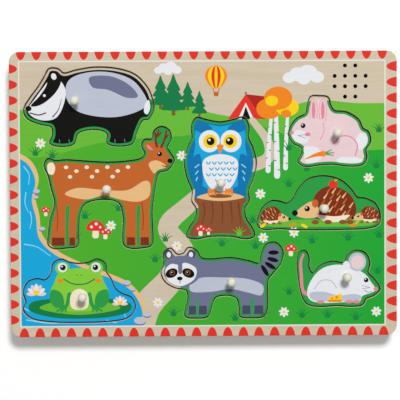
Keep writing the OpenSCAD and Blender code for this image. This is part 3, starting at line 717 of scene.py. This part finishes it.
def place_mm(vert):
    return tuple(round(c / MM, 4) for c in vert.co)


def face_outlines(node, z):
    """The closed outlines of a node's level faces at a height, in millimetres, the longest first."""
    mesh = nodes[node].data
    places = [place_mm(v) for v in mesh.vertices]
    level = []
    for face in mesh.polygons:
        corners = [places[i] for i in face.vertices]
        if all(abs(c[2] - z) < 0.001 for c in corners):
            level.append([c[:2] for c in corners])
    return sorted(borders(level), key=lambda ring: -length(ring))


def triangulated(rings, merge=0.001):
    """Triangles between rings: places, faces, the points at each place and the rings around each face."""
    points, numbered = [], []
    for ring in rings:
        numbered.append(list(range(len(points), len(points) + len(ring))))
        points += [Vector(p) for p in ring]
    places, _, faces, origins, _, owners = delaunay_2d_cdt(points, [], numbered, 1, merge)
    return places, faces, origins, owners


def printed_faces(outline, holes, layers):
    """The triangles of a printed face with the ink on top of each."""
    places, faces, _, owners = triangulated([outline, *holes, *(ring for _, ring in layers)])
    first = 1 + len(holes)
    inks = ["wood"] * first + [ink for ink, _ in layers]
    kept = [(tuple(face), inks[max(ids)]) for face, ids in zip(faces, owners)
            if 0 in ids and not any(0 < i < first for i in ids)]
    return places, kept


def ink_colour(ink, x):
    """Colour of an ink at a place across the board, where the green changes from left to right."""
    if ink != "green":
        return COLOURS[ink]
    share = 0.5 + x / (2 * half_w)
    return [a + (b - a) * share for a, b in zip(COLOURS["left_green"], COLOURS["right_green"])]


def edge_steps(r, top, bottom):
    """The rounded edge and wall of a plate as steps out from its top face, with their heights."""
    foot = 0.4 * r
    arc = [(r * sin(a), top - r * (1 - cos(a))) for a in (pi / 6, pi / 3, pi / 2)]
    return [*arc, (r, bottom + foot), (r - foot, bottom)]


def rounded(p):
    return round(p[0], 2), round(p[1], 2)


def plate(name, outlines, layers, top, bottom, rims, inked_rim=False):
    """A flat solid with a printed top. rims gives the edge radius of its outer edge and of its cut-outs.

    An inked rim is printed over its rounding and shows plies below it. Other edges are printed over the
    start of their rounding and sawn below.
    """
    outer, holes = outlines[0], [counter_clockwise(ring) for ring in outlines[1:]]
    radii = [rims[0], *(hole_r if length(ring) < small_hole else rims[1] for ring in holes)]
    trimmed = [grown(outer, -radii[0]), *(grown(ring, r) for ring, r in zip(holes, radii[1:]))]
    places, faces = printed_faces(trimmed[0], trimmed[1:], layers)
    edge_at = {rounded(p): number for number, ring in enumerate(trimmed) for p in ring}
    ink_at = {side: ink for face, ink in faces for side in sides(face)}

    bm = bmesh.new()
    cover = bm.loops.layers.float_color.new("ink")
    used = sorted({i for face, _ in faces for i in face})
    tops = {i: bm.verts.new((*(places[i] * MM), top * MM)) for i in used}

    def add(corners, ink, slot, smooth):
        face = bm.faces.new(corners)
        face.material_index = slot
        face.smooth = smooth
        for corner in face.loops:
            corner[cover] = ink_colour(ink, corner.vert.co.x / MM)

    for face, ink in faces:
        add([tops[i] for i in face], ink, PRINT, False)
    bottoms = []
    for rim in borders([face for face, _ in faces]):
        flat = [tuple(places[i]) for i in rim]
        number = next(edge_at[rounded(p)] for p in flat if rounded(p) in edge_at)
        inked = inked_rim and number == 0
        out = outward(flat)
        above = [tops[i] for i in rim]
        for count, (step, z) in enumerate(edge_steps(radii[number], top, bottom)):
            ring = [(p[0] + step * n.x, p[1] + step * n.y) for p, n in zip(flat, out)]
            below = [bm.verts.new((x * MM, y * MM, z * MM)) for x, y in ring]
            printed_strip = count < (RIM_STRIPS if inked else CUT_STRIPS)
            for k in range(len(ring)):
                ink = ink_at[rim[k - 1], rim[k]] if printed_strip else "wood"
                slot = PRINT if printed_strip else PLIES if inked else SAWN
                add((above[k - 1], below[k - 1], below[k], above[k]), ink, slot, True)
            above = below
        bottoms.append((ring, below))
    close_bottom(bottoms, add)
    bm.normal_update()
    return add_mesh(name, bm, wooden)


def close_bottom(bottoms, add):
    """Fills the underside of a plate between the lowest rings of its walls."""
    bottoms.sort(key=lambda pair: -length(pair[0]))
    rings = [counter_clockwise(ring) for ring, _ in bottoms]
    verts = [v for ring, (old, below) in zip(rings, bottoms) for v in (below if ring is old else below[::-1])]
    _, faces, origins, owners = triangulated(rings, 0)
    for face, ids in zip(faces, owners):
        if ids == [0]:
            add([verts[origins[i][0]] for i in reversed(face)], "wood", BOTTOM, False)


def add_object(name, data):
    made = bpy.data.objects.new(name, data)
    bpy.context.scene.collection.objects.link(made)
    return made


def add_mesh(name, bm, materials):
    """An object of a finished mesh and its materials."""
    mesh = bpy.data.meshes.new(name)
    bm.to_mesh(mesh)
    bm.free()
    for material in materials:
        mesh.materials.append(material)
    return add_object(name, mesh)


# Boards and knobs in one finish

def add_smooth(name, bm, material, crease=40):
    """An object in one material, smooth where its small faces meet at less than the crease angle."""
    made = add_mesh(name, bm, [material])
    made.data.set_sharp_from_angle(angle=radians(crease))
    for face in made.data.polygons:
        face.use_smooth = face.area < least_flat * MM * MM
    return made


def eased_board(name, node, material):
    """A copy of a packed board with its long rims rounded."""
    heights = [corner.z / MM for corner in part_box(node)]
    rims = {(*p, round(z, 4)) for z in heights for ring in face_outlines(node, z) if length(ring) > long_rim
            for p in ring}

    def on_rim(edge):
        ends = [place_mm(v) for v in edge.verts]
        level = ends[0][2] == ends[1][2]
        return level and all(end in rims for end in ends) and edge.calc_face_angle(0) > 1

    bm = bmesh.new()
    packed = nodes[node].data
    corners = [bm.verts.new(v.co) for v in packed.vertices]
    for face in packed.polygons:
        bm.faces.new([corners[i] for i in face.vertices])
    bmesh.ops.remove_doubles(bm, verts=bm.verts, dist=0.001 * MM)
    bmesh.ops.dissolve_limit(bm, angle_limit=radians(0.5), verts=bm.verts, edges=bm.edges)
    edges = [edge for edge in bm.edges if on_rim(edge)]
    bmesh.ops.bevel(bm, geom=edges, offset=rim_r * MM, segments=3, profile=0.5, affect="EDGES")
    return add_smooth(name, bm, material)


def turned_knob(name, node, foot_z, material):
    """A peg turned round its axis: shank, foot, hollow neck and a round head with a flat top."""
    low, high = (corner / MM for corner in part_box(node))
    middle = (low + high) / 2
    head_r = (high.x - low.x) / 2
    head_z = high.z - sqrt(head_r ** 2 - knob_flat_r ** 2)
    start, end, steps = 0.72 * pi, asin(knob_flat_r / head_r), 14
    turns = [start + (end - start) * i / steps for i in range(steps + 1)]
    head = [(head_r * sin(a), head_z + head_r * cos(a)) for a in turns]
    neck_top = head_z - head_r
    neck = open_curve([
        (knob_foot_r, foot_z + 0.4), (0.8 * knob_foot_r, foot_z + 1.2), (knob_neck_r, foot_z + 3),
        (knob_neck_r, neck_top - 0.6), (1.1 * knob_neck_r, neck_top + 0.4), head[0]])
    profile = [(knob_shank_r, low.z), (knob_shank_r, foot_z), (knob_foot_r, foot_z), *neck[:-1], *head]
    bm = bmesh.new()
    rings = []
    for r, z in profile:
        circle = ellipse(middle.x, middle.y, r, r, 0, knob_sides)
        rings.append([bm.verts.new((x * MM, y * MM, z * MM)) for x, y in circle])
    for below, above in zip(rings, rings[1:]):
        for i in range(knob_sides):
            bm.faces.new((below[i - 1], below[i], above[i], above[i - 1]))
    bm.faces.new(rings[0][::-1])
    bm.faces.new(rings[-1])
    return add_smooth(name, bm, material)


# Materials

def set_inputs(tree, node, inputs):
    """Sets a node's inputs to values, or links them to other nodes' outputs."""
    for name, value in inputs.items():
        if isinstance(value, bpy.types.NodeSocket):
            tree.links.new(value, node.inputs[name])
        else:
            node.inputs[name].default_value = value


def add_node(tree, kind, inputs=None, **settings):
    made = tree.nodes.new("ShaderNode" + kind)
    for name, value in settings.items():
        setattr(made, name, value)
    set_inputs(tree, made, inputs or {})
    return made


def new_material(name, **values):
    """A material, its node tree and its main shader with some values set."""
    material = bpy.data.materials.new(name)
    material.use_nodes = True
    shader = material.node_tree.nodes["Principled BSDF"]
    set_inputs(material.node_tree, shader, {socket.replace("_", " "): v for socket, v in values.items()})
    return material, material.node_tree, shader


def mixed(tree, factor, a, b, blend="MIX"):
    """The colour output of a mix of two colours."""
    inputs = {0: factor, 6: a, 7: b}
    return add_node(tree, "Mix", inputs, data_type="RGBA", blend_type=blend).outputs[2]


def ramp(tree, factor, stops, interpolation="LINEAR"):
    """A colour ramp through (position, colour) stops."""
    made = add_node(tree, "ValToRGB", {"Fac": factor})
    made.color_ramp.interpolation = interpolation
    marks = made.color_ramp.elements
    while len(marks) < len(stops):
        marks.new(0.5)
    for mark, (position, colour) in zip(marks, stops):
        mark.position = position
        mark.color = colour
    return made.outputs["Color"]


def ranged(tree, value, low, high, to_low=0, to_high=1):
    inputs = {"Value": value, "From Min": low, "From Max": high, "To Min": to_low, "To Max": to_high}
    return add_node(tree, "MapRange", inputs).outputs["Result"]


def object_place(tree):
    return add_node(tree, "TexCoord").outputs["Object"]


def share_along(tree, axis, start, end):
    """Share of the way from start to end along an axis."""
    place = add_node(tree, "SeparateXYZ", {"Vector": object_place(tree)}).outputs[axis]
    return ranged(tree, place, start, end)


def noise(tree, scale, stretch=(1, 1, 1), detail=4):
    """Noise with scale features to the metre, drawn out along an axis by a small stretch there."""
    spread = add_node(tree, "Mapping", {"Vector": object_place(tree), "Scale": stretch})
    inputs = {"Vector": spread.outputs["Vector"], "Scale": scale, "Detail": detail, "Roughness": 0.55}
    return add_node(tree, "TexNoise", inputs).outputs["Fac"]


def add_bump(tree, shader, height, depth):
    """Relief on a material, with its depth in millimetres."""
    bump = add_node(tree, "Bump", {"Height": height, "Distance": depth * MM, "Strength": 1})
    set_inputs(tree, shader, {"Normal": bump.outputs["Normal"]})


PALE_WOOD = linear(0xD3C5AE)
MID_WOOD = linear(0xCDBDA4)
DARK_WOOD = linear(0xAD9A7E)
# Dark brown of the cut-out walls: partly saw burn, partly painted shade deep in the narrow gaps
TOASTED_SHADED_WOOD = linear(0x6A4C30)

# Tones of two sawn edges of the face board, from its underside at 0 to its face at 1: the three plies of its
# rim, and a cut-out wall, pale at its sanded rounding and darker below: partly saw burn, partly painted shade
# of the deep gap
PLY_TONES = [(0, PALE_WOOD), (0.2, PALE_WOOD), (0.25, DARK_WOOD), (0.3, MID_WOOD), (0.62, MID_WOOD),
             (0.66, DARK_WOOD), (0.7, PALE_WOOD)]
SAWN_SHADED_TONES = [(0, MID_WOOD), (0.1, TOASTED_SHADED_WOOD), (0.5, TOASTED_SHADED_WOOD), (0.74, PALE_WOOD)]


def veneer(tree):
    """Grain of pale sawn wood along X: its colour, and its relief from 0 to 1."""
    broad = noise(tree, 45, (0.12, 1, 1), 5)
    fibre = noise(tree, 900, (0.03, 1, 1), 3)
    pores = noise(tree, 1500, (0.05, 1, 1), 2)
    tone = ramp(tree, broad, [(0.3, MID_WOOD), (0.5, PALE_WOOD), (0.7, MID_WOOD)])
    streaked = mixed(tree, ranged(tree, fibre, 0.35, 0.75, 0, 0.15), tone, DARK_WOOD)
    return mixed(tree, ranged(tree, pores, 0.62, 0.72, 0, 0.2), streaked, DARK_WOOD), fibre


def print_material():
    """Ink on pale wood under a thin satin lacquer. The ink attribute holds its colour and its cover."""
    material, tree, shader = new_material("printed_wood", IOR=1.5, Specular_IOR_Level=0.06)
    wood, fibre = veneer(tree)
    ink = add_node(tree, "VertexColor", layer_name="ink")
    shade = ranged(tree, noise(tree, 700, (0.1, 1, 1), 3), 0.3, 0.7, 0.97, 1.02)
    laid = mixed(tree, 1, ink.outputs["Color"], shade, "MULTIPLY")
    set_inputs(tree, shader, {
        "Base Color": mixed(tree, ink.outputs["Alpha"], wood, laid),
        "Roughness": ranged(tree, fibre, 0.3, 0.7, 0.5, 0.6)})
    add_bump(tree, shader, fibre, 0.02)
    return material


def edge_material(name, tones, grain, **values):
    """Sawn edge of the face board, in tones from its underside up, with dark fibres as strong as grain."""
    material, tree, shader = new_material(name, **values)
    tone = ramp(tree, share_along(tree, "Z", face_bottom * MM, face_top * MM), tones)
    fibre = noise(tree, 1300, (0.6, 0.6, 2))
    sawn = mixed(tree, ranged(tree, fibre, 0.35, 0.8, 0, grain), tone, DARK_WOOD)
    set_inputs(tree, shader, {"Base Color": sawn})
    add_bump(tree, shader, fibre, 0.06)
    return material


def bare_wood_material():
    material, tree, shader = new_material("bare_wood", Roughness=0.65)
    wood, fibre = veneer(tree)
    set_inputs(tree, shader, {"Base Color": wood})
    add_bump(tree, shader, fibre, 0.04)
    return material


def speckled_material(name, base, spot, scale, share, relief, roughness, metallic=0):
    """A base colour with small spots and faint clouds of another, and a fine relief."""
    material, tree, shader = new_material(name, Metallic=metallic)
    grain = noise(tree, scale, detail=5)
    cloudy = noise(tree, scale / 18, detail=3)
    mottled = mixed(tree, ranged(tree, cloudy, 0.3, 0.7, 0, 0.5 * share), linear(base), linear(spot))
    set_inputs(tree, shader, {
        "Base Color": mixed(tree, ranged(tree, grain, 0.45, 0.75, 0, share), mottled, linear(spot)),
        "Roughness": ranged(tree, grain, 0.3, 0.7, roughness - 0.06, roughness + 0.06)})
    add_bump(tree, shader, grain, relief)
    return material


def cell_material(node, way):
    """Sleeve of a battery cell, with a dark band at its plus end and bare steel at both ends."""
    start, end = [corner.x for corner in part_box(node)][::way]
    material, tree, shader = new_material(f"{node}_sleeve")
    share = share_along(tree, "X", start, end)
    sleeve, dark, steel = linear(0xC88A2C), linear(0x2A2A2E), linear(0xB9BBBD)
    stops = [(0, steel), (0.02, sleeve), (0.66, dark), (0.955, steel)]
    metal = [(position, (colour == steel,) * 4) for position, colour in stops]
    worn = noise(tree, 700, detail=5)
    set_inputs(tree, shader, {
        "Base Color": ramp(tree, share, stops, "CONSTANT"),
        "Metallic": ramp(tree, share, metal, "CONSTANT"),
        "Roughness": ranged(tree, worn, 0.3, 0.7, 0.24, 0.36)})
    add_bump(tree, shader, worn, 0.01)
    return material


# The printed pieces

COLOURS = {"wood": BARE, **{ink: linear(code) for ink, code in INKS.items()}}
# The sawn edge darkens down the walls of the cut-outs, partly as painted shade of the gap
wooden = [print_material(), edge_material("plywood_edge", PLY_TONES, 0.55, Roughness=0.7),
          edge_material("sawn_shaded_edge", SAWN_SHADED_TONES, 0.4, Roughness=0.75, Specular_IOR_Level=0.2),
          bare_wood_material()]
finishes = {slot: speckled_material(*finish) for slot, finish in FINISHES.items()}


def settle(piece, body, node=None):
    """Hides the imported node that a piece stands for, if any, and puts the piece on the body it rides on."""
    if node:
        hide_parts(node)
    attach(piece, body)


background = Pen()
draw_background(background)
board = Pen(*border_shift)
draw_border(board)
board_outlines = face_outlines("face_board", face_top)
face = plate("printed_face_board", board_outlines, background.layers + board.layers, face_top, face_bottom,
             (rim_r, cut_r), inked_rim=True)
settle(face, "board", "face_board")

core_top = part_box("core_board")[1].z / MM
core_holes = face_outlines("core_board", core_top)[1:]
meadow = ("green", "spring")  # printed darker on the pieces
dimmed = [("leaf" if ink in meadow else ink, ring) for ink, ring in background.layers]
for draw in (badger, deer, owl, rabbit, hedgehog, mouse, raccoon, frog):
    animal = draw.__name__
    node = f"{animal}_piece"
    low, high = (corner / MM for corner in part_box(node))
    outlines = face_outlines(node, high.z)
    middle = (low + high) / 2
    figure = Pen(middle.x, middle.y)
    draw(figure, [(x - middle.x, y - middle.y) for x, y in shrunk(outlines[0], figure_margin)])
    layers = dimmed + figure.layers
    piece = plate(f"printed_{animal}", outlines, layers, high.z, low.z + piece_lift, (piece_r, piece_r))
    settle(piece, animal, node)

    pocket = next(ring for ring in board_outlines[1:] if inside(outlines[0][0], ring))
    wells = [ring for ring in core_holes if inside(ring[0], pocket)]
    under = plate(f"{animal}_floor_print", [counter_clockwise(pocket), *wells], layers,
                  core_top + floor_print_t, core_top, (floor_print_t / 3, floor_print_t / 3))
    settle(under, "board")

    knob = turned_knob(f"{animal}_peg", f"{animal}_knob", high.z, finishes["ivory_plastic"])
    settle(knob, animal, f"{animal}_knob")

for name, node, slot in (
        ("core_layer", "core_board", "core_wood"), ("back_layer", "back_panel", "back_wood")):
    settle(eased_board(name, node, finishes[slot]), "board", node)

dressed = {part["node"]: finishes[part["material_slot"]] for part in frame["record"]["subparts"]
           if part["material_slot"] in finishes}
dressed.update((node, cell_material(node, way)) for node, way in CELLS.items())
for node, material in dressed.items():
    nodes[node].data.materials.clear()
    nodes[node].data.materials.append(material)


# Floor, light and camera

scene = bpy.context.scene
scene.view_settings.view_transform = "Standard"


def in_view(tree):
    """1 for camera, glossy and transmission rays, and 0 for the light that others carry."""
    light_path = add_node(tree, "LightPath")
    seen = light_path.outputs["Is Camera Ray"]
    for kind in ("Is Glossy Ray", "Is Transmission Ray"):
        inputs = {0: seen, 1: light_path.outputs[kind]}
        seen = add_node(tree, "Math", inputs, operation="MAXIMUM").outputs[0]
    return seen


def add_floor():
    """White floor that keeps the shadow, with a glow in view that grows with the distance.

    It is open under the board, so that the board's back shows from below.
    """
    size = 3000
    near, far = 0.3, 1.5
    near_glow, far_glow = 0.105, 0.7
    inset, drop = 1, 0.05
    square = [(-size, -size), (size, -size), (size, size), (-size, size)]
    opening = grown(counter_clockwise(face_outlines("back_panel", 0)[0]), -inset)
    places, faces, _, owners = triangulated([square, opening])
    around = [face for face, ids in zip(faces, owners) if ids == [0]]
    mesh = bpy.data.meshes.new("floor")
    mesh.from_pydata([(p.x * MM, p.y * MM, -drop * MM) for p in places], [], around)
    material, tree, shader = new_material(
        "white_floor", Base_Color=(0.96, 0.96, 0.96, 1), Roughness=0.9, Emission_Color=(1, 1, 1, 1))
    reach = add_node(tree, "VectorMath", {0: object_place(tree)}, operation="LENGTH").outputs["Value"]
    inputs = {0: in_view(tree), 1: ranged(tree, reach, near, far, near_glow, far_glow)}
    glow = add_node(tree, "Math", inputs, operation="MULTIPLY").outputs[0]
    set_inputs(tree, shader, {"Emission Strength": glow})
    mesh.materials.append(material)
    add_object("floor", mesh)


def add_lamp(name, place, aim, size, power):
    data = bpy.data.lights.new(name, "AREA")
    data.shape = "DISK"
    data.size = size
    data.energy = power
    lamp = add_object(name, data)
    lamp.location = place
    lamp.rotation_euler = (Vector(aim) - Vector(place)).to_track_quat("-Z", "Y").to_euler()


def add_world(strength):
    """Even light from all round, which the camera sees as white."""
    world = bpy.data.worlds.new("studio")
    world.use_nodes = True
    tree = world.node_tree
    seen_strength = ranged(tree, in_view(tree), 0, 1, strength, 1)
    set_inputs(tree, tree.nodes["Background"], {"Color": (1, 1, 1, 1), "Strength": seen_strength})
    scene.world = world


def add_camera():
    """Looks down on the board from just beyond its middle."""
    data = bpy.data.cameras.new("camera")
    data.lens = camera_lens
    scene.camera = add_object("camera", data)
    scene.camera.location = camera_place
    scene.camera.rotation_euler = [radians(a) for a in camera_turn]


add_floor()
add_world(0.3)
add_lamp("key", (0.38, 1.35, 2.64), (0, -1.6, 0), 0.7, 73)
add_lamp("under", (0.9, -0.9, -1.1), (0, 0, 0), 0.6, 29)
add_camera()
